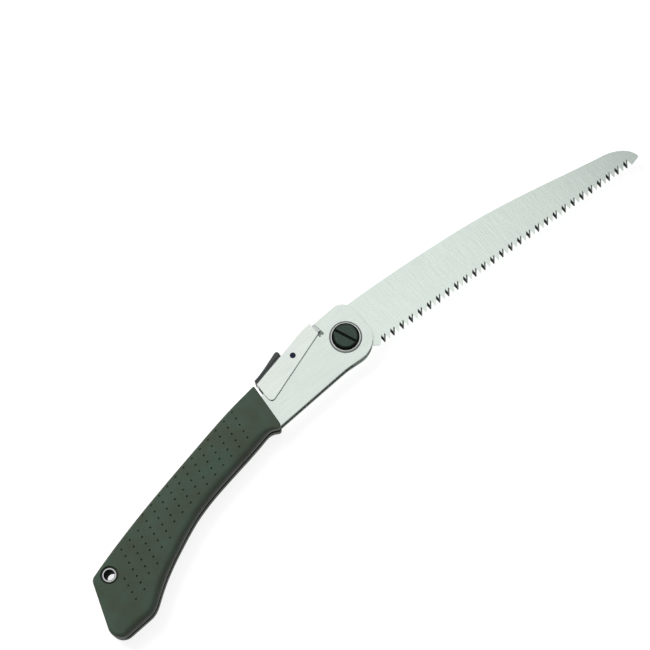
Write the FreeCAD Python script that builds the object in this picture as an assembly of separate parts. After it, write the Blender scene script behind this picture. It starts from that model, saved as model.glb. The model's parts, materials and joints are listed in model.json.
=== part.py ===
import FreeCAD, Part
import math
import os

# Folding pruning saw with a locking lever, lying open on its side. Millimetres, +Z up.
# Design axes: the pivot axis is Z at x = y = 0, +X runs towards the blade tip and +Y towards
# the spine side of the handle, and z = 0 is the middle of the blade. All pieces are then moved
# together so that the origin is the bottom centre of the whole open saw.

# Thicknesses across the saw
BLADE_T = 1.5
PLATE_GAP = 6.4
PLATE_T = 2.0
LEVER_T = 1.4
LEVER_PLAY = 0.3
GRIP_HALF_T = 9.2
CHANNEL_HALF = 2.3
WASHER_T = 0.8
HEAD_T = 2.9
BLADE_FACE_PLAY = 0.05

PLATE_IN = PLATE_GAP / 2
PLATE_OUT = PLATE_IN + PLATE_T
LEVER_IN = PLATE_OUT + LEVER_PLAY
LEVER_OUT = LEVER_IN + LEVER_T
WASHER_OUT = PLATE_OUT + WASHER_T

# Pivot group
SHANK_R = 5.0
SLEEVE_R = 7.0
PIVOT_FIT = 0.05
THRUST_R = 13.0
WASHER_R = 11.6
WASHER_BEVEL = (0.5, 1.1)
HEAD_R = 9.8
HEAD_BEVEL = 2.0
HEAD_SLOT_W = 1.9
HEAD_SLOT_DEPTH = 1.6
HEAD_SLOT_ANGLE = -71.0
NUT_ACROSS_FLATS = 17.0
NUT_BEVEL = 0.8

# Head of the frame
HEAD_BELLY_R = 19.0
BELLY_Y = -17.3
FRONT_ANGLE = -22.0
TOP_Y = 22.0
TOP_CORNER_R = 10.0
SLOT_FLOOR_Y = 12.1
SLOT_REAR_X = -13.3
SLOT_FRONT_X = (-9.3, -10.2)

# Locking lever
PIN = (-36.4, 14.5)
PIN_R = 2.0
PIN_FIT = 0.05
PIN_PROUD = 0.3
LOCKED_ANGLE = -6.0
BAR_REAR_X = -12.5
BAR_FRONT_X = (-10.1, -10.8)
BAR_END_Y = (15.3, 21.6)
NOSE_BOTTOM = ((-12.5, 13.0), (-10.1, 14.85))
NOSE_HALF = 2.6
NOTCH_PLAY = 0.35
WEB_T = 1.4
LEVER_TOP = [(-42.2, 19.9), (-30.0, 21.9), (-21.0, 23.4), (BAR_REAR_X, 23.8)]
LEVER_REAR_TOP = (-68.6, 15.6)
LEVER_REAR_X = -69.5
LEVER_HEEL = (-66.5, 2.6)
LEVER_HEEL_R = 3.0
PEG_X = (-62.0, -49.0)
PEG_R = 1.6

# Blade
TANG_R = 17.5
FOLD_ANGLE = 161.5
TEETH = 56
TOOTH_PITCH = 4.0
FIRST_TOOTH = (19.6, -20.0)
TOOTH_SLOPE = -0.095
TOOTH_DEPTH = 5.6
GULLET_W = 5.2
BEVEL_ANGLE = 45.0
HEEL = (14.4, -18.9)
TIP = (247.3, -38.6)
BORE_R = SLEEVE_R + PIVOT_FIT

# Grip
TEETH_CLEARANCE = 3.0
SPINE_CORNER = (-236.6, -17.0)
SPINE_CORNER_R = 5.4
BUTT_CORNER = (-245.2, -48.6)
BUTT_CORNER_R = 8.8
REAR_EDGE_ANGLE = 158.0
LANYARD = (-229.8, -18.3)
LANYARD_R = 3.6
EYELET_WALL = 0.7
EYELET_FLANGE_R = 5.2
EYELET_FLANGE_T = 0.7
RECESS_R = 6.1
RECESS_DEPTH = 1.3
TANG_END_R = 6.5
RIVETS = ((-87.0, 5.8), (-133.0, -1.0), (-184.0, -10.0))
RIVET_R = 2.0

# Spring of the lever
WIRE_R = 0.4
COIL_R = 2.75
COIL_TURNS = 4
COIL_PITCH = 1.0
STOP_PIN = (-26.4, 16.6)
STOP_PIN_R = 1.2


def vec(x, y, z=0.0):
    return FreeCAD.Vector(x, y, z)


def line(a, b):
    return Part.makeLine(vec(*a), vec(*b))


def arc(a, through, b):
    return Part.Arc(vec(*a), vec(*through), vec(*b)).toShape()


def curve(points):
    spline = Part.BSplineCurve()
    spline.interpolate([vec(*p) for p in points])
    return spline.toShape()


def polygon(points):
    return [line(a, b) for a, b in zip(points, points[1:] + points[:1])]


def on_circle(centre, radius, degrees):
    a = math.radians(degrees)
    return (centre[0] + radius * math.cos(a), centre[1] + radius * math.sin(a))


def slab(edges, z0, z1):
    """Solid between z0 and z1 over a closed flat outline."""
    face = Part.Face(Part.Wire(Part.__sortEdges__(edges)))
    face.translate(vec(0, 0, z0))
    return face.extrude(vec(0, 0, z1 - z0))


def disc(centre, radius, z0, z1):
    return Part.makeCylinder(radius, z1 - z0, vec(centre[0], centre[1], z0))


def ring(centre, inner, outer, z0, z1):
    return disc(centre, outer, z0, z1).cut(disc(centre, inner, z0, z1))


def mirror_z(shape):
    return shape.mirror(vec(0, 0, 0), vec(0, 0, 1))


def turned(shape, centre, degrees):
    copy = shape.copy()
    copy.rotate(vec(*centre), vec(0, 0, 1), degrees)
    return copy


def plate_outline():
    """Frame side plate: round head at the pivot, slot for the lock bar, tapering tang in the grip."""
    bottom = (0.0, -HEAD_BELLY_R)
    front_low = on_circle((0, 0), HEAD_BELLY_R, FRONT_ANGLE)
    corner = (front_low[0] - TOP_CORNER_R, TOP_Y - TOP_CORNER_R)
    front_high = on_circle(corner, TOP_CORNER_R, 0)
    top_front = on_circle(corner, TOP_CORNER_R, 90)
    slot_top = (SLOT_FRONT_X[1], TOP_Y)
    slot_front = (SLOT_FRONT_X[0], SLOT_FLOOR_Y)
    slot_rear = (SLOT_REAR_X, SLOT_FLOOR_Y)
    lever_run = [slot_rear, (SLOT_REAR_X, 19.0), (-32.0, 18.4), (-38.5, 18.4), (-50.0, 13.2), (-72.0, 7.2)]
    tang_top = on_circle(LANYARD, TANG_END_R, 100)
    tang_low = on_circle(LANYARD, TANG_END_R, 260)
    shoulder = (-76.2, BELLY_Y)
    belly_start = (-18.0, BELLY_Y)
    edges = [
        curve([belly_start, (-12.0, -17.6), (-6.0, -18.4), bottom]),
        arc(bottom, on_circle((0, 0), HEAD_BELLY_R, -55), front_low),
        line(front_low, front_high),
        arc(front_high, on_circle(corner, TOP_CORNER_R, 45), top_front),
        line(top_front, slot_top),
        line(slot_top, slot_front),
        line(slot_front, slot_rear),
    ]
    edges += [line(a, b) for a, b in zip(lever_run, lever_run[1:])]
    edges += [
        curve([lever_run[-1], (-84.0, 9.6), (-100.0, 8.9), (-132.0, 4.4), (-182.0, -4.2), tang_top]),
        arc(tang_top, on_circle(LANYARD, TANG_END_R, 180), tang_low),
        curve([tang_low, (-214.0, -31.5), (-196.0, -34.4), (-170.0, -26.0), (-140.0, -19.2),
               (-110.0, -15.3), (-84.0, -12.2)]),
        curve([(-84.0, -12.2), (-80.0, -13.4), shoulder]),
        line(shoulder, belly_start),
    ]
    return edges


def grip_outline():
    """Outer outline of the grip: long gentle spine, hooked butt, waisted belly and a finger lip."""
    front_top = (-71.2, 15.9)
    spine_end = on_circle(SPINE_CORNER, SPINE_CORNER_R, 102)
    rear_top = on_circle(SPINE_CORNER, SPINE_CORNER_R, REAR_EDGE_ANGLE)
    rear_low = on_circle(BUTT_CORNER, BUTT_CORNER_R, REAR_EDGE_ANGLE)
    bottom_rear = on_circle(BUTT_CORNER, BUTT_CORNER_R, 270)
    bottom_front = (-227.0, bottom_rear[1])
    lip = (-75.3, -18.3)
    return [
        curve([front_top, (-100.0, 13.6), (-130.0, 9.2), (-160.0, 4.5), (-200.0, -2.8), spine_end]),
        arc(spine_end, on_circle(SPINE_CORNER, SPINE_CORNER_R, 130), rear_top),
        line(rear_top, rear_low),
        arc(rear_low, on_circle(BUTT_CORNER, BUTT_CORNER_R, 215), bottom_rear),
        line(bottom_rear, bottom_front),
        curve([bottom_front, (-221.0, -55.8), (-215.0, -52.2), (-200.0, -43.4), (-180.0, -34.5),
               (-160.0, -27.2), (-140.0, -22.9), (-110.0, -19.1), (-90.0, -16.2), (-84.5, -15.7),
               (-80.8, -16.9), (-77.8, -18.6), lip]),
        line(lip, front_top),
    ]


def folded_tooth_line(x):
    """Height of the tooth tips at x when the blade is folded into the handle."""
    lean = math.degrees(math.atan(TOOTH_SLOPE)) - FOLD_ANGLE
    first = FreeCAD.Vector(FIRST_TOOTH[0], FIRST_TOOTH[1], 0)
    folded = FreeCAD.Rotation(vec(0, 0, 1), -FOLD_ANGLE).multVec(first)
    return folded.y + (x - folded.x) * math.tan(math.radians(lean))


def channel():
    """Space in the grip that the folded blade slides into, open along the belly and at the front."""
    front_x, rear_x, below_y = -60.0, -246.2, -75.0
    outline = [
        (front_x, folded_tooth_line(front_x) + TEETH_CLEARANCE),
        (rear_x, folded_tooth_line(rear_x) + TEETH_CLEARANCE),
        (-250.6, -47.4),
        (-248.4, -52.4),
        (-244.0, below_y),
        (front_x, below_y),
    ]
    return slab(polygon(outline), -CHANNEL_HALF, CHANNEL_HALF)


def side_plate():
    plate = slab(plate_outline(), PLATE_IN, PLATE_OUT)
    holes = [disc((0, 0), SHANK_R, PLATE_IN, PLATE_OUT), disc(PIN, PIN_R, PLATE_IN, PLATE_OUT)]
    holes += [disc(STOP_PIN, STOP_PIN_R, PLATE_IN, PLATE_OUT)]
    holes += [disc(centre, RIVET_R, PLATE_IN, PLATE_OUT) for centre in RIVETS]
    holes += [disc(LANYARD, LANYARD_R + EYELET_WALL, PLATE_IN, PLATE_OUT)]
    return plate.cut(holes)


def spine_spacer():
    """Strip between the plates along the spine, above the folded teeth."""
    above_teeth = polygon([(-80.0, 30.0), (-80.0, 3.2), (-236.0, -26.0), (-260.0, -26.0), (-260.0, 30.0)])
    strip = slab(plate_outline(), -PLATE_IN, PLATE_IN).common(slab(above_teeth, -PLATE_IN, PLATE_IN))
    holes = [disc(centre, RIVET_R, -PLATE_IN, PLATE_IN) for centre in RIVETS]
    holes += [disc(LANYARD, LANYARD_R + EYELET_WALL, -PLATE_IN, PLATE_IN)]
    return strip.cut(holes)


def frame_rivets():
    return Part.makeCompound([disc(centre, RIVET_R, -PLATE_OUT, PLATE_OUT) for centre in RIVETS])


def grip_half():
    """Near half of the rubber grip; it wraps its side plate and meets the other half at the spine."""
    body = slab(grip_outline(), 0, GRIP_HALF_T)
    tube_r = LANYARD_R + EYELET_WALL
    hollows = [
        channel(),
        slab(plate_outline(), 0, PLATE_OUT),
        disc(LANYARD, tube_r, 0, GRIP_HALF_T),
        disc(LANYARD, RECESS_R, GRIP_HALF_T - RECESS_DEPTH, GRIP_HALF_T),
    ]
    return body.cut(hollows)


def eyelet():
    """Lanyard tube with its near flange, let into the round recess of the near grip half."""
    seat = GRIP_HALF_T - RECESS_DEPTH
    tube = disc(LANYARD, LANYARD_R + EYELET_WALL, -seat - EYELET_FLANGE_T, seat + EYELET_FLANGE_T)
    flange = disc(LANYARD, EYELET_FLANGE_R, seat, seat + EYELET_FLANGE_T)
    bore = disc(LANYARD, LANYARD_R, -GRIP_HALF_T, GRIP_HALF_T)
    return tube.fuse(flange).cut(bore)


def eyelet_washer():
    seat = GRIP_HALF_T - RECESS_DEPTH
    return ring(LANYARD, LANYARD_R + EYELET_WALL, EYELET_FLANGE_R, -seat - EYELET_FLANGE_T, -seat)


def lock_bar(grow=0.0):
    """Bar across the front of the lever with a nose that drops into the tang of the blade."""
    x0 = BAR_REAR_X
    x1, x2 = BAR_FRONT_X
    y0, y1 = BAR_END_Y
    (nose_x0, nose_y0), (nose_x1, nose_y1) = NOSE_BOTTOM
    nose = polygon([(nose_x0 - grow, nose_y0 - grow), (nose_x1 + grow, nose_y1 - grow),
                    (x2 + grow, y1), (nose_x0 - grow, y1)])
    bar = slab(polygon([(x0, y0), (x1, y0), (x2, y1), (x0, y1)]), -LEVER_OUT, LEVER_OUT)
    return bar.fuse(slab(nose, -NOSE_HALF, NOSE_HALF)).removeSplitter()


def gullet(index):
    """Filed gap in front of one tooth: upright wall, sloping back, bevelled to alternate sides."""
    x = FIRST_TOOTH[0] + index * TOOTH_PITCH
    y = FIRST_TOOTH[1] + index * TOOTH_PITCH * TOOTH_SLOPE
    below = 0.4
    side = 1 if index % 2 == 0 else -1
    outline = polygon([(x, y - below * TOOTH_DEPTH), (x, y + TOOTH_DEPTH),
                       (x - GULLET_W * (1 + below), y - below * TOOTH_DEPTH)])
    face = Part.Face(Part.Wire(outline))
    reach = BLADE_T
    shift = side * reach * math.tan(math.radians(BEVEL_ANGLE))
    face.translate(vec(-shift, 0, -reach))
    return face.extrude(vec(2 * shift, 0, 2 * reach))


def blade():
    rim_top = on_circle((0, 0), TANG_R, 110)
    rim_heel = on_circle((0, 0), TANG_R, 302)
    tip_low = (240.0, FIRST_TOOTH[1] + (TEETH - 1) * TOOTH_PITCH * TOOTH_SLOPE)
    edges = [
        line(rim_top, (-2.0, 18.4)),
        line((-2.0, 18.4), (14.5, 18.4)),
        curve([(14.5, 18.4), (50.0, 15.0), (90.0, 9.8), (130.0, 3.2), (170.0, -6.2), (200.0, -14.4),
               (230.0, -22.4)]),
        curve([(230.0, -22.4), (240.0, -27.3), (245.4, -33.0), TIP]),
        line(TIP, (246.6, -39.7)),
        line((246.6, -39.7), tip_low),
        line(tip_low, FIRST_TOOTH),
        line(FIRST_TOOTH, HEEL),
        line(HEEL, rim_heel),
        arc(rim_heel, on_circle((0, 0), TANG_R, 206), rim_top),
    ]
    half = BLADE_T / 2
    body = slab(edges, -half, half)
    nose = lock_bar(NOTCH_PLAY).common(Part.makeBox(40, 40, BLADE_T, vec(-30, 0, -half)))
    cuts = [disc((0, 0), BORE_R, -half, half)]
    for drop in (0.5 * LOCKED_ANGLE, LOCKED_ANGLE):
        open_notch = turned(nose, (PIN[0], PIN[1], 0), drop)
        cuts.append(open_notch)
        cuts.append(turned(open_notch, (0, 0, 0), FOLD_ANGLE))
    cuts += [gullet(i) for i in range(TEETH)]
    return body.cut(cuts)


def pivot_sleeve():
    return ring((0, 0), SHANK_R, SLEEVE_R, -PLATE_IN, PLATE_IN)


def thrust_washer():
    return ring((0, 0), SLEEVE_R, THRUST_R, BLADE_T / 2 + BLADE_FACE_PLAY, PLATE_IN)


def pivot_bolt():
    """Bolt with a wide flat head and a straight screwdriver slot."""
    top = WASHER_OUT + HEAD_T
    head = disc((0, 0), HEAD_R, WASHER_OUT, top)
    rim = [e for e in head.Edges if len(e.Vertexes) == 1 and abs(e.Vertexes[0].Z - top) < 0.01]
    head = head.makeChamfer(HEAD_BEVEL, rim)
    shank = disc((0, 0), SHANK_R, -GRIP_HALF_T, WASHER_OUT)
    slot = Part.makeBox(4 * HEAD_R, HEAD_SLOT_W, HEAD_SLOT_DEPTH,
                        vec(-2 * HEAD_R, -HEAD_SLOT_W / 2, top - HEAD_SLOT_DEPTH))
    return head.fuse(shank).cut(turned(slot, (0, 0, 0), HEAD_SLOT_ANGLE))


def washer():
    """Near washer, its outer top edge dished down to a thin rim."""
    drop, width = WASHER_BEVEL
    body = ring((0, 0), SHANK_R, WASHER_R, PLATE_OUT, WASHER_OUT)
    foot_r = WASHER_R + width / drop * (WASHER_T - drop)
    dish = Part.makeCone(foot_r, WASHER_R - width, WASHER_T, vec(0, 0, PLATE_OUT))
    return body.common(dish)


def pivot_nut():
    """Hexagon nut, its lower face level with the grip so that the saw lies flat."""
    corner_r = NUT_ACROSS_FLATS / math.sqrt(3)
    hexagon = polygon([on_circle((0, 0), corner_r, 60 * i) for i in range(6)])
    nut = slab(hexagon, -GRIP_HALF_T, -WASHER_OUT)
    bevel = Part.makeCone(corner_r - NUT_BEVEL, corner_r + 2.5, 3.3, vec(0, 0, -GRIP_HALF_T))
    return nut.common(bevel).cut(disc((0, 0), SHANK_R, -GRIP_HALF_T, -WASHER_OUT))


def lever_body():
    """Folded sheet: two cheeks outside the plates and a web over the spine that carries the pad."""
    front_low = (BAR_REAR_X, 14.6)
    corner = on_circle(LEVER_HEEL, LEVER_HEEL_R, 180)
    heel_low = on_circle(LEVER_HEEL, LEVER_HEEL_R, 286)
    outline = [
        line(front_low, LEVER_TOP[-1]),
        curve(LEVER_TOP),
        line(LEVER_TOP[0], LEVER_REAR_TOP),
        line(LEVER_REAR_TOP, (LEVER_REAR_X, 6.0)),
        line((LEVER_REAR_X, 6.0), corner),
        arc(corner, on_circle(LEVER_HEEL, LEVER_HEEL_R, 233), heel_low),
        line(heel_low, front_low),
    ]
    body = slab(outline, -LEVER_OUT, LEVER_OUT)
    under_web = [(x, y - WEB_T) for x, y in LEVER_TOP]
    rear_web = (LEVER_REAR_TOP[0], LEVER_REAR_TOP[1] - WEB_T)
    inside = [
        curve(under_web),
        line(under_web[0], rear_web),
        line(rear_web, (-75.0, rear_web[1])),
        line((-75.0, rear_web[1]), (-75.0, -10.0)),
        line((-75.0, -10.0), (BAR_REAR_X, -10.0)),
        line((BAR_REAR_X, -10.0), under_web[-1]),
    ]
    cuts = [slab(inside, -LEVER_IN, LEVER_IN), disc(PIN, PIN_R + PIN_FIT, -LEVER_OUT, LEVER_OUT)]
    cuts += [peg_bore(x) for x in PEG_X]
    return body.cut(cuts)


def web_height(x):
    """Upper surface of the straight rear part of the web."""
    (x0, y0), (x1, y1) = LEVER_REAR_TOP, LEVER_TOP[0]
    return y0 + (x - x0) * (y1 - y0) / (x1 - x0)


def peg_bore(x):
    low = web_height(x) - WEB_T - PEG_R / 2
    return Part.makeCylinder(PEG_R, WEB_T + PEG_R, vec(x, low, 0), vec(0, 1, 0))


def thumb_pad():
    """Moulded pad on the rear of the lever, held by two pegs through the web."""
    rear_low, front_low = LEVER_REAR_TOP, LEVER_TOP[0]
    outline = [
        line(rear_low, front_low),
        line(front_low, (-42.4, 22.6)),
        arc((-42.4, 22.6), (-43.2, 24.2), (-45.0, 24.5)),
        curve([(-45.0, 24.5), (-50.0, 23.1), (-60.0, 20.3), (-68.4, 18.8)]),
        line((-68.4, 18.8), rear_low),
    ]
    pad = slab(outline, -LEVER_OUT, LEVER_OUT)
    pegs = [peg_bore(x) for x in PEG_X]
    return pad.fuse(pegs).removeSplitter()


def lever_pin():
    return disc(PIN, PIN_R, -LEVER_OUT - PIN_PROUD, LEVER_OUT + PIN_PROUD)


def stop_pin():
    return disc(STOP_PIN, STOP_PIN_R, -PLATE_OUT, PLATE_OUT)


def rod(a, b, radius):
    way = vec(*b) - vec(*a)
    return Part.makeCylinder(radius, way.Length, vec(*a), way)


def lever_spring():
    """Torsion spring round the lever pin: one leg under the stop pin, one leg under the web."""
    height = COIL_TURNS * COIL_PITCH
    helix = Part.makeHelix(COIL_PITCH, height, COIL_R)
    helix.translate(vec(0, 0, -height / 2))
    start = helix.Edges[0].valueAt(helix.Edges[0].FirstParameter)
    section = Part.Wire(Part.makeCircle(WIRE_R, start, vec(0, 1, 0)))
    coil = Part.Wire(helix.Edges).makePipeShell([section], True, True)
    coil.rotate(vec(0, 0, 0), vec(0, 0, 1), -90)
    coil.translate(vec(PIN[0], PIN[1]))
    low, high = -height / 2, height / 2
    foot = (PIN[0], PIN[1] - COIL_R)
    under_stop = (STOP_PIN[0] + 2.0, STOP_PIN[1] - STOP_PIN_R - WIRE_R)
    under_web = (-54.0, web_height(-54.0) - WEB_T - WIRE_R)
    front_leg = rod((foot[0], foot[1], low), (under_stop[0], under_stop[1], low), WIRE_R)
    rear_leg = rod((foot[0], foot[1], high), (under_web[0], under_web[1], high), WIRE_R)
    return coil.fuse([front_leg, rear_leg])


def main():
    near_grip = grip_half()
    nodes = {
        "near_side_plate": side_plate(),
        "far_side_plate": mirror_z(side_plate()),
        "spine_spacer": spine_spacer(),
        "frame_rivets": frame_rivets(),
        "near_grip_half": near_grip,
        "far_grip_half": mirror_z(near_grip),
        "lanyard_eyelet": eyelet(),
        "eyelet_washer": eyelet_washer(),
        "blade": blade(),
        "pivot_sleeve": pivot_sleeve(),
        "near_thrust_washer": thrust_washer(),
        "far_thrust_washer": mirror_z(thrust_washer()),
        "pivot_bolt": pivot_bolt(),
        "bolt_washer": washer(),
        "nut_washer": mirror_z(washer()),
        "pivot_nut": pivot_nut(),
        "lever_body": lever_body(),
        "lock_bar": lock_bar(),
        "thumb_pad": thumb_pad(),
        "lever_pin": lever_pin(),
        "spring_stop_pin": stop_pin(),
        "lever_spring": lever_spring(),
    }
    box = FreeCAD.BoundBox()
    for shape in nodes.values():
        box.add(shape.optimalBoundingBox(False, False))
    shift = vec(round(-box.Center.x, 2), round(-box.Center.y, 2), round(-box.ZMin, 2))
    print("pivot at", shift, "size", box.XLength, box.YLength, box.ZLength)
    os.makedirs("parts", exist_ok=True)
    for name, shape in nodes.items():
        shape.translate(shift)
        shape.exportStep("parts/" + name + ".step")
        print(name, "valid" if shape.isValid() else "INVALID", len(shape.Solids), round(shape.Volume, 1))


main()
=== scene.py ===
import json
import math

import bmesh
import bpy
from mathutils import Matrix, Vector


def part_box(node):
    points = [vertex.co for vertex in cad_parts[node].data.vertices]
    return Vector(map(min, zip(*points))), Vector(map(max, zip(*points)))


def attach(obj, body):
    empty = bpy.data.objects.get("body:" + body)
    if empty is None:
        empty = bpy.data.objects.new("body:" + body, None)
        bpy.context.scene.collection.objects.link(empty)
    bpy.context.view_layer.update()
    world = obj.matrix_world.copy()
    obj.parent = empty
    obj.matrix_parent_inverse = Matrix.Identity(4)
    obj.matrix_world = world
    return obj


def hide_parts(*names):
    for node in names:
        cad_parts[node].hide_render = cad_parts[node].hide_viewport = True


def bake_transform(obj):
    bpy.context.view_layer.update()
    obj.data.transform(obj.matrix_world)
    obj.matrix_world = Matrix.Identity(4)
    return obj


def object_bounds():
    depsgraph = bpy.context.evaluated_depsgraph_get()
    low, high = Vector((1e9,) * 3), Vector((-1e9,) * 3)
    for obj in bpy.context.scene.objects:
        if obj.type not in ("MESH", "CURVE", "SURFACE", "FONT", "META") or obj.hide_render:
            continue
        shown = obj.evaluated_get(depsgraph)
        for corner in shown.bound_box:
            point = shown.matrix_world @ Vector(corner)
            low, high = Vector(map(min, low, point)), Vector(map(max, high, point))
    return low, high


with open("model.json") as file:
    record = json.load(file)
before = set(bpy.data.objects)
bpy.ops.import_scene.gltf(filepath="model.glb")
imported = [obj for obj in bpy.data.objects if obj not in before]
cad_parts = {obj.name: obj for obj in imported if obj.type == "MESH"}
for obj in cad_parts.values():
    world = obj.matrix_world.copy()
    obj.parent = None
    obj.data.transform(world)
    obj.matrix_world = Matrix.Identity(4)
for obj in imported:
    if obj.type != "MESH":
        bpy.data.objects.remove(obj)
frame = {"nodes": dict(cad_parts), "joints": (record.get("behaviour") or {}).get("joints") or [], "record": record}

# Folding pruning saw, open, lying on its far side. Metres, in the row frame.
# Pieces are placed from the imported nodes' boxes and outlines and from the two hinges.
CAD_LOW, CAD_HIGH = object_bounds()
MM = 0.001
HINGE = {j["name"]: Vector(j["pos_m"]) for j in frame["joints"]}
PIVOT = HINGE["blade_fold"]
MID_Z = PIVOT.z

# Camera
CAMERA_LENS = 99.7
CAMERA_TILT = math.radians(17.5)
CAMERA_TURN = math.radians(34.515)
CAMERA_ROLL = math.radians(-7.5)
CAMERA_REACH = 1.2661
CAMERA_AIM = Vector((-0.0005, 0.0341, MID_Z))

# Rubber grip
GRIP_SKIN = 0.04 * MM
GRIP_CROWN = 0.45 * MM
SPINE_ROUND = 1.8 * MM
FRONT_ROUND = 0.7 * MM
NEAR_BELLY_ROUND = 5.4 * MM
FAR_BELLY_ROUND = 1.2 * MM
SEAM_ROUND = 0.35 * MM
SEAM_SKIRT = 1.0 * MM
SEAM_ANGLES = (0, 30, 60, 90)
EDGE_ANGLES = (0, 12, 24, 36, 48, 60, 72, 84)
CHANNEL_HALF = 2.3 * MM
CHANNEL_OPENS = 4 * MM
CHANNEL_CLOSES = 3 * MM
LIP_SOFT = 3.0 * MM
FRONT_TOP_SOFT = 1.2 * MM
SPINE_TAKES_OVER = 8 * MM
BUTT_TAKES_OVER = 0.7
BELLY_TAKES_OVER = 9 * MM
LIP_FLAT = 1 * MM
LIP_FADE = 15 * MM
LONG_STEPS = 230
CROSS_STEPS = 46
DIMPLE_START = (-94.7 * MM, 11.5 * MM)
DIMPLE_COLUMN = (-8.35 * MM, -1.22 * MM)
DIMPLE_ROW = (-0.95 * MM, -5.15 * MM)
DIMPLE_COLUMNS = 16
DIMPLE_ROWS = 8
DIMPLE_R = 0.72 * MM
DIMPLE_DEPTH = 0.7 * MM
DIMPLE_SIDES = 14
DIMPLE_STEPS = ((0.8, 0.6), (0.4, 0.92))
DIMPLE_HEADROOM = 2 * MM
DIMPLE_SPINE_GAP = 1.7 * MM
DIMPLE_BELLY_GAP = 7.5 * MM
DIMPLE_EYELET_GAP = 6 * MM
SMOOTH_ANGLE = 32

# Share of fine detail in every noise
NOISE_ROUGH = 0.55
# Painted shade on the tilted sharpened facets of the teeth, against the blade's own tone
FACET_PAINTED_SHADE = 0.17
# Painted shade on the upright cut edges of the steel plates, against their faces
CUT_EDGE_PAINTED_SHADE = 0.25

# Thumb pad
PAD_SKIN = 0.04 * MM
PAD_ROUND = 0.45 * MM
PAD_STEP = 0.2 * MM
PAD_BAND = 1.3 * MM
PAD_BAND_DEPTH = 0.35 * MM
PAD_RIB_PITCH = 1.6 * MM
PAD_RIB_DEPTH = 0.16 * MM
PAD_EDGE_ANGLES = (10, 30, 50, 70, 90)
PAD_CORNER_SOFT = 1.2 * MM
FOOT_ROUND = 0.1 * MM
FOOT_CORNER_SOFT = 0.6 * MM
PAD_OUTLINE_STEPS = 400
PEG_TOP = 0.6 * MM
PEG_REACH = 9 * MM
PEG_HALF_T = 2 * MM

# Lever spring: the angle above which its edges are shaded sharp
SPRING_SMOOTH_ANGLE = 40

# Stage
FLOOR_HALF = 6.0
FLOOR_TONE = 0.38
FLOOR_GLOW = 0.84
SURROUND_LIGHT = 0.14
OVERHEAD_SIZE = (1.65, 1.3)
OVERHEAD_WATTS = 5.25
KEY_SIZE = (0.9, 0.9)
KEY_WATTS = 18


# Geometry helpers -----------------------------------------------------------------------------

def new_piece(name, mesh, material, body):
    """Object around a mesh, finished as a slot says. It rides on a body when one is given."""
    piece = bpy.data.objects.new(name, mesh)
    bpy.context.scene.collection.objects.link(piece)
    mesh.materials.clear()
    mesh.materials.append(material)
    if body is not None:
        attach(piece, body)
    return piece


def welded(node):
    """Closed bmesh of a CAD node, its vertices merged."""
    bm = bmesh.new()
    bm.from_mesh(frame["nodes"][node].data)
    bmesh.ops.remove_doubles(bm, verts=bm.verts, dist=1e-6)
    return bm


def face_outline(node, z):
    """Outer outline, counter-clockwise, of the flat face that a CAD node has at height z."""
    bm = welded(node)
    level = [f for f in bm.faces if all(abs(v.co.z - z) < 1e-6 for v in f.verts)]
    inside = set(level)
    border = [e for f in level for e in f.edges if sum(g in inside for g in e.link_faces) == 1]
    after = {}
    for e in border:
        a, b = e.verts
        after.setdefault(a.index, []).append(b)
        after.setdefault(b.index, []).append(a)
    start = max((v for e in border for v in e.verts), key=lambda v: v.co.x)
    loop, previous, here = [], None, start
    while here is not start or not loop:
        loop.append(here.co.xy.copy())
        step = [v for v in after[here.index] if v is not previous][0]
        previous, here = here, step
    bm.free()
    area = sum(a.cross(b) for a, b in zip(loop, loop[1:] + loop[:1]))
    return loop if area > 0 else loop[::-1]


def support(loop, degrees):
    """Index of the outline point that lies furthest in a direction."""
    way = Vector((math.cos(math.radians(degrees)), math.sin(math.radians(degrees))))
    return max(range(len(loop)), key=lambda i: loop[i].dot(way))


def resampled(points, steps):
    """Evenly spaced points along an open polyline, its last point left out."""
    lengths = [0.0]
    for a, b in zip(points, points[1:]):
        lengths.append(lengths[-1] + (b - a).length)
    made, k = [], 0
    for i in range(steps):
        want = lengths[-1] * i / steps
        while lengths[k + 1] < want:
            k += 1
        t = (want - lengths[k]) / (lengths[k + 1] - lengths[k])
        made.append(points[k].lerp(points[k + 1], t))
    return made


def stretch(loop, first, last):
    """The part of a closed loop from one index to another, both included."""
    return loop[first:last + 1] if first < last else loop[first:] + loop[:last + 1]


def smoothstep(t):
    t = min(1.0, max(0.0, t))
    return t * t * (3 - 2 * t)


def inward(loop):
    """Unit normals into a counter-clockwise loop."""
    normals = []
    for before, after in zip(loop[-1:] + loop[:-1], loop[1:] + loop[:1]):
        way = (after - before).normalized()
        normals.append(Vector((-way.y, way.x)))
    return normals


def soften(loop, corners, reach, passes):
    """Rounds the sharp corners of a loop in plan."""
    pull = [max(0.0, 1 - min((p - loop[c]).length for c in corners) / reach) for p in loop]
    for _ in range(passes):
        around = [(a + b) / 2 for a, b in zip(loop[-1:] + loop[:-1], loop[1:] + loop[:1])]
        loop = [p.lerp(q, 0.7 * w) for p, q, w in zip(loop, around, pull)]
    return loop


def lathe(bm, centre, profile, sides):
    """Closed turned body round a Z line: profile is a list of (radius, z), tip to tip."""
    rings = []
    for radius, z in profile:
        if radius == 0:
            rings.append([bm.verts.new((centre.x, centre.y, z))])
            continue
        ring = []
        for i in range(sides):
            a = 2 * math.pi * i / sides
            ring.append(bm.verts.new((centre.x + radius * math.cos(a), centre.y + radius * math.sin(a), z)))
        rings.append(ring)
    for low, high in zip(rings, rings[1:]):
        for i in range(sides):
            j = (i + 1) % sides
            corners = [low[i % len(low)], low[j % len(low)], high[j % len(high)], high[i % len(high)]]
            unique = list(dict.fromkeys(corners))
            bm.faces.new(unique)


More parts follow.
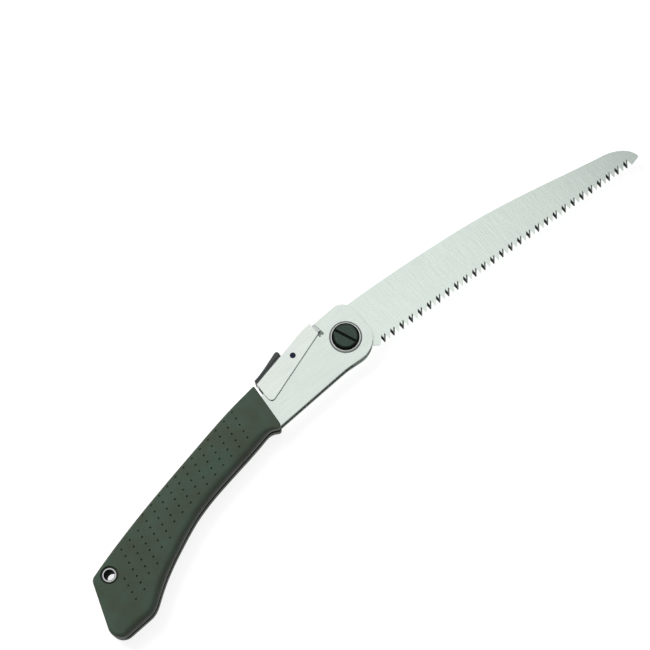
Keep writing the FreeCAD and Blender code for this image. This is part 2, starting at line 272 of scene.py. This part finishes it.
def mesh_of(bm, name):
    bmesh.ops.recalc_face_normals(bm, faces=bm.faces)
    mesh = bpy.data.meshes.new(name)
    bm.to_mesh(mesh)
    bm.free()
    return mesh


def boolean(mesh, steps, name):
    """Mesh after exact booleans: steps is a list of (operation, mesh)."""
    scene = bpy.context.scene
    target = bpy.data.objects.new(name, mesh)
    scene.collection.objects.link(target)
    tools = []
    for operation, other in steps:
        tool = bpy.data.objects.new(name, other)
        scene.collection.objects.link(tool)
        tools.append(tool)
        modifier = target.modifiers.new(operation, "BOOLEAN")
        modifier.operation = operation
        modifier.solver = "EXACT"
        modifier.object = tool
    bpy.context.view_layer.update()
    graph = bpy.context.evaluated_depsgraph_get()
    made = bpy.data.meshes.new_from_object(target.evaluated_get(graph))
    for o in [target] + tools:
        bpy.data.objects.remove(o)
    return made


def smooth(mesh, degrees):
    mesh.shade_smooth()
    mesh.set_sharp_from_angle(angle=math.radians(degrees))
    return mesh


# Grip -----------------------------------------------------------------------------------------

def grip_loop(node, top, belly_round):
    """Grip outline as four stretches, and for each point its edge radius and how far it is belly."""
    raw = face_outline(node, top)
    front_top, spine_rear, butt, lip = (support(raw, a) for a in (90, 150, 235, 300))
    spine = resampled(stretch(raw, front_top, spine_rear), LONG_STEPS)
    rear = resampled(stretch(raw, spine_rear, butt), CROSS_STEPS)
    belly = resampled(stretch(raw, butt, lip), LONG_STEPS)
    front = resampled(stretch(raw, lip, front_top), CROSS_STEPS)
    loop = spine + rear + belly + front
    lip_at = 2 * LONG_STEPS + CROSS_STEPS
    loop = soften(soften(loop, (lip_at,), LIP_SOFT, 12), (0,), FRONT_TOP_SOFT, 3)
    run = (loop[LONG_STEPS // 2] - loop[LONG_STEPS // 2 + 1]).length
    radius, open_side = [], []
    for i in range(len(loop)):
        if i < LONG_STEPS:
            radius.append(FRONT_ROUND + (SPINE_ROUND - FRONT_ROUND) * smoothstep(i * run / SPINE_TAKES_OVER))
            open_side.append(0.0)
        elif i < LONG_STEPS + CROSS_STEPS:
            along = (i - LONG_STEPS) / CROSS_STEPS
            near_butt = smoothstep((along - BUTT_TAKES_OVER) / (1 - BUTT_TAKES_OVER))
            radius.append(SPINE_ROUND + (belly_round - SPINE_ROUND) * 0.5 * near_butt)
            open_side.append(0.0)
        elif i < lip_at:
            from_butt = (i - LONG_STEPS - CROSS_STEPS) * run
            to_lip = (lip_at - i) * run
            share = 0.5 + 0.5 * smoothstep(from_butt / BELLY_TAKES_OVER)
            middle = SPINE_ROUND + (belly_round - SPINE_ROUND) * share
            radius.append(FRONT_ROUND + (middle - FRONT_ROUND) * smoothstep((to_lip - LIP_FLAT) / LIP_FADE))
            open_side.append(smoothstep(from_butt / CHANNEL_OPENS))
        else:
            radius.append(FRONT_ROUND)
            open_side.append(1 - smoothstep((i - lip_at) * run / CHANNEL_CLOSES))
    return loop, radius, open_side


def grip_rings(loop, radius, open_side, half_t):
    """Rings of the rubber skin from the seam up over the rounded edge, as (x, y, height) points."""
    normals = inward(loop)
    rings = [[(SEAM_ROUND, -SEAM_SKIRT)] * len(loop)]
    for degrees in SEAM_ANGLES:
        a = math.radians(degrees)
        rings.append([(SEAM_ROUND * (1 - math.sin(a)), CHANNEL_HALF * o + SEAM_ROUND * (1 - math.cos(a)))
                      for o in open_side])
    top = half_t - GRIP_SKIN - GRIP_CROWN
    for degrees in EDGE_ANGLES:
        a = math.radians(degrees)
        rings.append([(r * (1 - math.cos(a)), top - r * (1 - math.sin(a))) for r in radius])
    return [[(p.x + n.x * (inset + GRIP_SKIN), p.y + n.y * (inset + GRIP_SKIN), z)
             for p, n, (inset, z) in zip(loop, normals, ring)] for ring in rings]


def grip_face(bm, ring, side):
    """Crowned face inside the last ring, a grid between its four stretches."""
    n, m = LONG_STEPS, CROSS_STEPS
    spine = ring[:n + 1]
    rear = ring[n:n + m + 1]
    belly = ring[n + m:2 * n + m + 1][::-1]
    front = (ring[2 * n + m:] + ring[:1])[::-1]
    rows = []
    for i in range(n + 1):
        u = i / n
        row = []
        for j in range(m + 1):
            v = j / m
            if j == 0:
                row.append(spine[i])
            elif j == m:
                row.append(belly[i])
            elif i == 0:
                row.append(front[j])
            elif i == n:
                row.append(rear[j])
            else:
                a = spine[i].co * (1 - v) + belly[i].co * v
                b = front[j].co * (1 - u) + rear[j].co * u
                c = (spine[0].co * (1 - v) + belly[0].co * v) * (1 - u)
                d = (spine[n].co * (1 - v) + belly[n].co * v) * u
                p = a + b - c - d
                ends = smoothstep(min(u, 1 - u) * 12)
                p.z += side * GRIP_CROWN * (1 - (2 * v - 1) ** 2) * ends
                row.append(bm.verts.new(p))
        rows.append(row)
    for a, b in zip(rows, rows[1:]):
        for j in range(m):
            bm.faces.new((a[j], a[j + 1], b[j + 1], b[j]))


def dimple_places(loop, eyelet):
    """Slanted lattice of dimples, kept off the edges and off the lanyard eyelet."""
    spine = loop[:LONG_STEPS]
    belly = loop[LONG_STEPS + CROSS_STEPS:2 * LONG_STEPS + CROSS_STEPS]
    places = []
    for k in range(DIMPLE_COLUMNS):
        for j in range(DIMPLE_ROWS):
            p = Vector((PIVOT.x + DIMPLE_START[0] + k * DIMPLE_COLUMN[0] + j * DIMPLE_ROW[0],
                        PIVOT.y + DIMPLE_START[1] + k * DIMPLE_COLUMN[1] + j * DIMPLE_ROW[1]))
            off_spine = min((p - q).length for q in spine) > DIMPLE_SPINE_GAP
            off_belly = min((p - q).length for q in belly) > DIMPLE_BELLY_GAP
            above_belly = p.y > min(belly, key=lambda q: (p - q).length).y
            by_eyelet = k == DIMPLE_COLUMNS - 1 and p.y > eyelet.y - DIMPLE_EYELET_GAP
            if off_spine and off_belly and above_belly and not by_eyelet:
                places.append(p)
    return places


def grip_half(node, side, belly_round, rubber):
    """Rubber half: rounded, crowned and dimpled outside, with the CAD half's own channel and pockets."""
    low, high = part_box(node)
    face_z = high.z if side > 0 else low.z
    half_t = high.z - low.z
    loop, radius, open_side = grip_loop(node, face_z, belly_round)
    bm = bmesh.new()
    rings = [[bm.verts.new((x, y, MID_Z + side * z)) for x, y, z in ring]
             for ring in grip_rings(loop, radius, open_side, half_t)]
    for lower, upper in zip(rings, rings[1:]):
        for i in range(len(loop)):
            j = (i + 1) % len(loop)
            bm.faces.new((lower[i], lower[j], upper[j], upper[i]))
    bm.faces.new(rings[0])
    bm.verts.ensure_lookup_table()
    grip_face(bm, rings[-1], side)
    skin = mesh_of(bm, node)
    eyelet_low, eyelet_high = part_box("lanyard_eyelet")
    eyelet = (eyelet_low + eyelet_high) / 2
    top = MID_Z + side * (half_t - GRIP_CROWN)
    cutter = bmesh.new()
    for place in dimple_places(loop, eyelet):
        profile = [(0, top + side * DIMPLE_HEADROOM), (DIMPLE_R, top + side * DIMPLE_HEADROOM),
                   (DIMPLE_R, top)]
        profile += [(r * DIMPLE_R, top - side * depth * DIMPLE_DEPTH) for r, depth in DIMPLE_STEPS]
        lathe(cutter, place, profile + [(0, top - side * DIMPLE_DEPTH)], DIMPLE_SIDES)
    dimples = mesh_of(cutter, node)
    cad = mesh_of(welded(node), node)
    mesh = boolean(skin, [("DIFFERENCE", dimples), ("INTERSECT", cad)], node)
    piece = new_piece(node + "_rubber", smooth(mesh, SMOOTH_ANGLE), rubber, "handle")
    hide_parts(node)
    return piece


# Thumb pad ------------------------------------------------------------------------------------

def prism(corners, bottom, top):
    """Closed upright slab over a plan outline."""
    bm = bmesh.new()
    low = [bm.verts.new((p.x, p.y, bottom)) for p in corners]
    high = [bm.verts.new((p.x, p.y, top)) for p in corners]
    bm.faces.new(low[::-1])
    bm.faces.new(high)
    for i in range(len(low)):
        j = (i + 1) % len(low)
        bm.faces.new((low[i], low[j], high[j], high[i]))
    return mesh_of(bm, "prism")


def rounded_slab(bm, loop, half_t, radius):
    """Closed slab over an outline, centred on the mid plane, its edges rounded."""
    normals = inward(loop)
    rings = []
    for side, degrees in [(-1, a) for a in PAD_EDGE_ANGLES[::-1]] + [(1, a) for a in PAD_EDGE_ANGLES]:
        a = math.radians(degrees)
        inset = PAD_SKIN + radius * (1 - math.cos(a))
        z = MID_Z + side * (half_t - radius * (1 - math.sin(a)))
        rings.append([bm.verts.new((p.x + n.x * inset, p.y + n.y * inset, z))
                      for p, n in zip(loop, normals)])
    for lower, upper in zip(rings, rings[1:]):
        for i in range(len(loop)):
            j = (i + 1) % len(loop)
            bm.faces.new((lower[i], lower[j], upper[j], upper[i]))
    bm.faces.new(rings[0][::-1])
    bm.faces.new(rings[-1])


def even_loop(corners):
    """Closed outline resampled at the pad's step, with the indices of its corners."""
    made, starts = [], []
    for a, b in zip(corners, corners[1:] + corners[:1]):
        starts.append(len(made))
        made += resampled([a, b], max(1, round((b - a).length / PAD_STEP)))
    return made, starts


def ribbed(loop, start, along, up):
    """Shallow ribs across the thumb edge of the pad."""
    made = []
    for p, n in zip(loop, inward(loop)):
        share = smoothstep((-n.dot(up) - 0.9) * 20)
        dip = PAD_RIB_DEPTH * (0.5 - 0.5 * math.cos(2 * math.pi * (p - start).dot(along) / PAD_RIB_PITCH))
        made.append(p + n * dip * share)
    return made


def thumb_pad(finish):
    """Moulded pad: rounded and ribbed above, on a thinner foot with the CAD part's pegs."""
    low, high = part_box("thumb_pad")
    half_t = (high.z - low.z) / 2 - PAD_SKIN
    raw = face_outline("thumb_pad", high.z)
    rear, front = support(raw, 250), support(raw, 300)
    start, end = raw[rear], raw[front]
    along = (end - start).normalized()
    up = Vector((-along.y, along.x))
    sides = stretch(raw, front, rear)
    edge = resampled(sides, PAD_OUTLINE_STEPS) + [start]
    body = [p for p in edge if (p - start).dot(up) > PAD_BAND]
    body = even_loop(body[::2])[0]
    sharp = (0, support(body, 160), support(body, 225))
    bm = bmesh.new()
    rounded_slab(bm, ribbed(soften(body, sharp, PAD_CORNER_SOFT, 8), start, along, up), half_t, PAD_ROUND)
    inset = along * PAD_BAND_DEPTH
    rise = up * (PAD_BAND + MM)
    foot = [start + inset, end - inset, end - inset + rise, start + inset + rise]
    foot, corners = even_loop(foot)
    rounded_slab(bm, soften(foot, corners, FOOT_CORNER_SOFT, 3), half_t - PAD_BAND_DEPTH, FOOT_ROUND)
    pegs_only = [start - along * MM, end + along * MM]
    above = [p + up * PEG_TOP for p in pegs_only] + [p + up * PEG_REACH for p in pegs_only[::-1]]
    sheet = [p - up * 0.1 * MM for p in pegs_only] + [p + up * MM for p in pegs_only[::-1]]
    cuts = [("DIFFERENCE", prism(above, low.z - MM, high.z + MM))]
    for side in (1, -1):
        outside = prism(sheet, MID_Z + side * PEG_HALF_T, MID_Z + side * (half_t + PEG_HALF_T))
        cuts.append(("DIFFERENCE", outside))
    pegs = boolean(mesh_of(welded("thumb_pad"), "pegs"), cuts, "pegs")
    bm.from_mesh(pegs)
    mesh = smooth(mesh_of(bm, "thumb_pad"), SMOOTH_ANGLE)
    piece = new_piece("thumb_pad_ribbed", mesh, finish, "lock_lever")
    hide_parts("thumb_pad")
    return piece


def lever_spring(finish):
    """Torsion spring round the lever's axis, smooth-shaded from the CAD part; it rides on no body and stays put.
    """
    mesh = smooth(mesh_of(welded("lever_spring"), "lever_spring"), SPRING_SMOOTH_ANGLE)
    piece = new_piece("lever_spring_wound", mesh, finish, None)
    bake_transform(piece)
    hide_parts("lever_spring")
    return piece


# Materials ------------------------------------------------------------------------------------

class Shader:
    """A Principled material with a few shorthands for its nodes."""

    def __init__(self, name, metallic, roughness):
        self.material = bpy.data.materials.new(name)
        self.material.use_nodes = True
        self.tree = self.material.node_tree
        self.bsdf = self.tree.nodes["Principled BSDF"]
        self.bsdf.inputs["Metallic"].default_value = metallic
        self.bsdf.inputs["Roughness"].default_value = roughness
        self.place = self.node("ShaderNodeTexCoord").outputs["Object"]

    def node(self, kind, **inputs):
        made = self.tree.nodes.new(kind)
        for key, value in inputs.items():
            self.plug(made.inputs[key.replace("_", " ")], value)
        return made

    def plug(self, socket, value):
        if isinstance(value, bpy.types.NodeSocket):
            self.tree.links.new(value, socket)
        else:
            socket.default_value = value

    def stretched(self, scale):
        """Object coordinates scaled per axis, so that noise runs in streaks."""
        return self.node("ShaderNodeMapping", Vector=self.place, Scale=scale).outputs["Vector"]

    def noise(self, size, detail, scale=(1, 1, 1)):
        """Noise whose features are about size metres across."""
        return self.node("ShaderNodeTexNoise", Vector=self.stretched(scale), Scale=1 / size,
                         Detail=detail, Roughness=NOISE_ROUGH).outputs["Fac"]

    def spread(self, fac, low, high, start=0.3, end=0.7):
        """A factor mapped to a range of values."""
        made = self.node("ShaderNodeMapRange", Value=fac)
        for key, value in (("From Min", start), ("From Max", end), ("To Min", low), ("To Max", high)):
            made.inputs[key].default_value = value
        return made.outputs["Result"]

    def colours(self, fac, *stops):
        """Colour ramp of (position, colour) stops."""
        made = self.node("ShaderNodeValToRGB", Fac=fac)
        ramp = made.color_ramp.elements
        while len(ramp) < len(stops):
            ramp.new(0.5)
        for element, (position, colour) in zip(ramp, stops):
            element.position = position
            element.color = (*colour, 1)
        return made.outputs["Color"]

    def colour(self, value):
        self.plug(self.bsdf.inputs["Base Color"], value)

    def rough(self, value):
        self.plug(self.bsdf.inputs["Roughness"], value)

    def bump(self, height, distance, strength, normal=None):
        made = self.node("ShaderNodeBump", Height=height, Distance=distance, Strength=strength)
        if normal is not None:
            self.plug(made.inputs["Normal"], normal)
        return made.outputs["Normal"]

    def soft_edges(self, radius):
        """Edges worn round by a small radius."""
        made = self.tree.nodes.new("ShaderNodeBevel")
        made.samples = 4
        made.inputs["Radius"].default_value = radius
        return made.outputs["Normal"]

    def normal(self, value):
        self.plug(self.bsdf.inputs["Normal"], value)

    def mix(self, fac, a, b):
        """Colour a where the factor is 0, b where it is 1."""
        made = self.node("ShaderNodeMix")
        made.data_type = "RGBA"
        colours = [socket for socket in made.inputs if socket.type == "RGBA"]
        self.plug(made.inputs["Factor"], fac)
        self.plug(colours[0], a)
        self.plug(colours[1], b)
        return [socket for socket in made.outputs if socket.type == "RGBA"][0]

    def height(self):
        """Height in the row frame."""
        return self.node("ShaderNodeSeparateXYZ", Vector=self.place).outputs["Z"]

    def lean(self):
        """How far the surface faces up or down: 1 on the flat faces, 0 on upright walls."""
        facing = self.node("ShaderNodeTexCoord").outputs["Normal"]
        upward = self.node("ShaderNodeSeparateXYZ", Vector=facing).outputs["Z"]
        made = self.node("ShaderNodeMath", Value=upward)
        made.operation = "ABSOLUTE"
        return made.outputs["Value"]

    def off_axis(self, axis):
        """Distance from a line parallel to Z."""
        flat = self.node("ShaderNodeMapping", Vector=self.place,
                         Location=(-axis.x, -axis.y, 0), Scale=(1, 1, 0))
        made = self.node("ShaderNodeVectorMath", Vector=flat.outputs["Vector"])
        made.operation = "LENGTH"
        return made.outputs["Value"]


def tinted(colour, share):
    return tuple(c * share for c in colour)


def rubber(name, colour, grain, roughness):
    """Moulded rubber: fine grain, mottling, duller patches from handling, and painted shade darkening the turned
    edges.
    """
    s = Shader(name, 0.0, roughness)
    red, green, blue = colour
    tone = s.colours(s.noise(16 * MM, 3), (0.35, (red * 0.98, green * 0.88, blue * 0.86)),
                     (0.65, (red, green * 1.1, blue * 1.14)))
    # Painted shade: surfaces that turn away from the flat faces are darkened towards a dark brown.
    turned = s.spread(s.lean(), 1, 0, 0.5, 0.97)
    s.colour(s.mix(turned, tone, (red * 0.5, green * 0.42, blue * 0.4, 1)))
    s.rough(s.spread(s.noise(14 * MM, 3), roughness - 0.06, roughness + 0.08))
    s.normal(s.bump(s.noise(grain, 2), 0.05 * MM, 0.5))
    return s.material


def satin_steel(name, colour, roughness, lines):
    """Ground and tumbled steel: fine lines across the given scale, cloudy sheen, cut edges darkened with painted
    shade.
    """
    s = Shader(name, 1.0, roughness)
    streaks = s.noise(0.5 * MM, 2, lines)
    clouds = s.noise(22 * MM, 3)
    flat = s.colours(clouds, (0.3, tinted(colour, 0.975)), (0.7, tinted(colour, 1.02)))
    # Painted shade: upright walls, the cut edges, take a dark share of the steel's colour.
    s.colour(s.mix(s.spread(s.lean(), 0, 1, 0.4, 0.8), (*tinted(colour, CUT_EDGE_PAINTED_SHADE), 1), flat))
    s.rough(s.spread(streaks, roughness - 0.05, roughness + 0.07))
    s.normal(s.bump(streaks, 0.004 * MM, 0.3, s.soft_edges(0.2 * MM)))
    return s.material


def bright_metal(name, colour, roughness):
    """Plated or turned metal with faint wear and tool marks."""
    s = Shader(name, 1.0, roughness)
    wear = s.noise(1.5 * MM, 4)
    s.colour(s.colours(wear, (0.3, tinted(colour, 0.93)), (0.7, colour)))
    s.rough(s.spread(wear, roughness * 0.8, roughness * 1.4))
    s.normal(s.bump(s.noise(0.4 * MM, 2), 0.004 * MM, 0.4, s.soft_edges(0.15 * MM)))
    return s.material


def saw_steel(name, colour, roughness, lines):
    """Ground blade steel, with painted shade making its tilted tooth facets dark and its upright edges half dark.
    """
    s = Shader(name, 1.0, roughness)
    streaks = s.noise(0.5 * MM, 2, lines)
    clouds = s.noise(30 * MM, 2)
    ground = s.colours(clouds, (0.3, tinted(colour, 0.985)), (0.7, colour))
    # Painted shade by how far a face tilts: upright edges half dark, tilted tooth facets darkest, flat faces the
    # ground tone.
    facets = s.colours(s.lean(), (0.15, tinted(colour, 0.5)), (0.25, tinted(colour, FACET_PAINTED_SHADE)),
                       (0.93, tinted(colour, FACET_PAINTED_SHADE)), (0.97, (1, 1, 1)))
    s.colour(s.mix(s.spread(s.lean(), 0, 1, 0.93, 0.97), facets, ground))
    s.rough(s.spread(streaks, roughness - 0.03, roughness + 0.04))
    s.normal(s.bump(streaks, 0.003 * MM, 0.12))
    return s.material


def eyelet_chrome(name, colour, axis, bore_r, flange_r):
    """Bright plated flange with a ring of painted shade where it meets the rubber, round a dull bore painted near
    black as shade.
    """
    s = Shader(name, 1.0, 0.12)
    wear = s.noise(1.5 * MM, 4)
    reach = s.off_axis(axis)
    bright = s.colours(wear, (0.3, tinted(colour, 0.93)), (0.7, colour))
    # Painted shade: a dark ring round the flange's outer edge.
    rim_shade = s.spread(reach, 0, 1, flange_r - 1.0 * MM, flange_r - 0.35 * MM)
    plated = s.mix(rim_shade, bright, (*tinted(colour, 0.12), 1))
    # Painted shade: the bore is painted near black; the same mask also makes it matt.
    inside = s.spread(reach, 1, 0, bore_r + 0.1 * MM, bore_r + 0.5 * MM)
    s.colour(s.mix(inside, plated, (0.006, 0.006, 0.010, 1)))
    s.rough(s.spread(inside, 0.12, 0.95, 0, 1))
    s.normal(s.bump(s.noise(0.4 * MM, 2), 0.004 * MM, 0.3, s.soft_edges(0.8 * MM)))
    return s.material


def black_oxide(name, colour, roughness, top=None):
    """Blackened steel, rubbed a little brighter here and there, and darkened below its top face with painted
    shade.
    """
    s = Shader(name, 0.85, roughness)
    wear = s.noise(2.2 * MM, 4)
    tone = s.colours(wear, (0.35, colour), (0.75, tinted(colour, 1.7)))
    if top is not None:
        # Painted shade: everything sunk below the top face, the slot and bevel, goes much darker.
        sunk_shade = s.spread(s.height(), 1, 0, top - 1.1 * MM, top - 0.3 * MM)
        tone = s.mix(sunk_shade, tone, (*tinted(colour, 0.18), 1))
    s.colour(tone)
    s.rough(s.spread(wear, roughness - 0.06, roughness + 0.1))
    s.normal(s.bump(s.noise(0.35 * MM, 2), 0.01 * MM, 0.5, s.soft_edges(0.25 * MM)))
    return s.material


def nylon(name, colour):
    """Moulded nylon: matt, faintly orange-peeled."""
    s = Shader(name, 0.0, 0.5)
    s.colour(s.colours(s.noise(6 * MM, 3), (0.3, tinted(colour, 0.9)), (0.7, tinted(colour, 1.1))))
    s.normal(s.bump(s.noise(0.7 * MM, 2), 0.03 * MM, 0.4))
    return s.material


def paint_frame():
    """Every CAD node whose slot has a finish here gets it; the rest keep their imported material."""
    across = (1, 0.03, 1)
    along = (0.03, 1, 1)
    eyelet_mount = [m for m in frame["record"]["mounts"] if m["name"] == "lanyard_hole"][0]
    eyelet = Vector(eyelet_mount["pos_m"])
    bore_r = eyelet_mount["dims"]["r_mm"] * MM
    flange_low, flange_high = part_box("lanyard_eyelet")
    flange_r = 0.5 * (flange_high.x - flange_low.x)
    finishes = {
        "frame_steel": satin_steel("frame_steel", (0.80, 0.885, 0.82), 0.22, along),
        "lever_steel": satin_steel("lever_steel", (0.87, 0.935, 0.88), 0.24, along),
        "blade_steel": saw_steel("blade_steel", (0.86, 0.955, 0.885), 0.27, across),
        "lock_bar_steel": satin_steel("lock_bar_steel", (0.72, 0.76, 0.73), 0.3, (1, 1, 0.05)),
        "nut_steel": satin_steel("nut_steel", (0.62, 0.66, 0.64), 0.32, (1, 1, 0.05)),
        "rivet_steel": bright_metal("rivet_steel", (0.66, 0.69, 0.67), 0.28),
        "spring_steel": bright_metal("spring_steel", (0.42, 0.44, 0.44), 0.3),
        "eyelet_chrome": eyelet_chrome("eyelet_chrome", (0.80, 0.83, 0.82), eyelet, bore_r, flange_r),
        "washer_chrome": bright_metal("washer_chrome", (0.86, 0.90, 0.88), 0.3),
        "bearing_brass": bright_metal("bearing_brass", (0.72, 0.53, 0.24), 0.28),
        "bolt_black": black_oxide("bolt_black", (0.045, 0.068, 0.055), 0.3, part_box("pivot_bolt")[1].z),
        "pin_blued": black_oxide("pin_blued", (0.018, 0.02, 0.045), 0.3),
        "spacer_nylon": nylon("spacer_nylon", (0.05, 0.052, 0.05)),
    }
    slots = {p["node"]: p["material_slot"] for p in frame["record"]["subparts"]}
    for node, obj in frame["nodes"].items():
        finish = finishes.get(slots[node])
        if finish is None:
            continue
        for slot in obj.material_slots:
            slot.material = finish
    return finishes


# Stage ----------------------------------------------------------------------------------------

def make_camera():
    turn, tilt, roll = CAMERA_TURN, CAMERA_TILT, CAMERA_ROLL
    ahead = Vector((math.sin(turn) * math.sin(tilt), math.cos(turn) * math.sin(tilt), -math.cos(tilt)))
    level = Vector((math.cos(turn), -math.sin(turn), 0))
    up = level.cross(ahead)
    right = level * math.cos(roll) + up * math.sin(roll)
    up = right.cross(ahead)
    camera = bpy.data.objects.new("camera", bpy.data.cameras.new("camera"))
    camera.data.sensor_width = 36
    camera.data.lens = CAMERA_LENS
    camera.data.clip_start, camera.data.clip_end = 0.05, 20
    turned = Matrix((right, up, -ahead)).transposed().to_4x4()
    camera.matrix_world = Matrix.Translation(CAMERA_AIM - ahead * CAMERA_REACH) @ turned
    bpy.context.scene.collection.objects.link(camera)
    bpy.context.scene.camera = camera


def make_floor():
    """Pale lit table top, level with the lowest point of the saw."""
    signs = ((-1, -1), (1, -1), (1, 1), (-1, 1))
    bm = bmesh.new()
    bm.faces.new([bm.verts.new((FLOOR_HALF * x, FLOOR_HALF * y, CAD_LOW.z)) for x, y in signs])
    mesh = mesh_of(bm, "floor")
    s = Shader("table_top", 0.0, 0.6)
    s.colour((FLOOR_TONE, FLOOR_TONE, FLOOR_TONE, 1))
    s.bsdf.inputs["Emission Color"].default_value = (1, 1, 1, 1)
    s.bsdf.inputs["Emission Strength"].default_value = FLOOR_GLOW
    mesh.materials.append(s.material)
    floor = bpy.data.objects.new("floor", mesh)
    bpy.context.scene.collection.objects.link(floor)


def area_light(name, place, aim, size, power):
    data = bpy.data.lights.new(name, "AREA")
    data.shape = "RECTANGLE"
    data.size, data.size_y = size
    data.energy = power
    light = bpy.data.objects.new(name, data)
    light.location = place
    light.rotation_mode = "QUATERNION"
    light.rotation_quaternion = (Vector(aim) - Vector(place)).to_track_quat("-Z", "Y")
    bpy.context.scene.collection.objects.link(light)
    return light


def make_light():
    """Big soft box above, a key from the spine side that steel doesn't mirror, and an even pale surround."""
    world = bpy.data.worlds.new("surround")
    world.use_nodes = True
    world.node_tree.nodes["Background"].inputs["Color"].default_value = (1, 1, 1, 1)
    world.node_tree.nodes["Background"].inputs["Strength"].default_value = SURROUND_LIGHT
    bpy.context.scene.world = world
    area_light("overhead_box", (0.125, 0.40, 1.75), (0.125, 0.1, 0), OVERHEAD_SIZE, OVERHEAD_WATTS)
    key = area_light("spine_key", (-0.25, 1.15, 1.15), (0, 0, 0), KEY_SIZE, KEY_WATTS)
    key.visible_glossy = False


# Build ----------------------------------------------------------------------------------------

make_camera()
make_floor()
make_light()
bpy.context.scene.view_settings.view_transform = "Standard"

FINISH = paint_frame()
RUBBER = rubber("grip_rubber", (0.071, 0.103, 0.071), 0.3 * MM, 0.58)
grip_half("near_grip_half", 1, NEAR_BELLY_ROUND, RUBBER)
grip_half("far_grip_half", -1, FAR_BELLY_ROUND, RUBBER)
thumb_pad(rubber("pad_rubber", (0.078, 0.092, 0.086), 0.25 * MM, 0.5))
lever_spring(FINISH["spring_steel"])
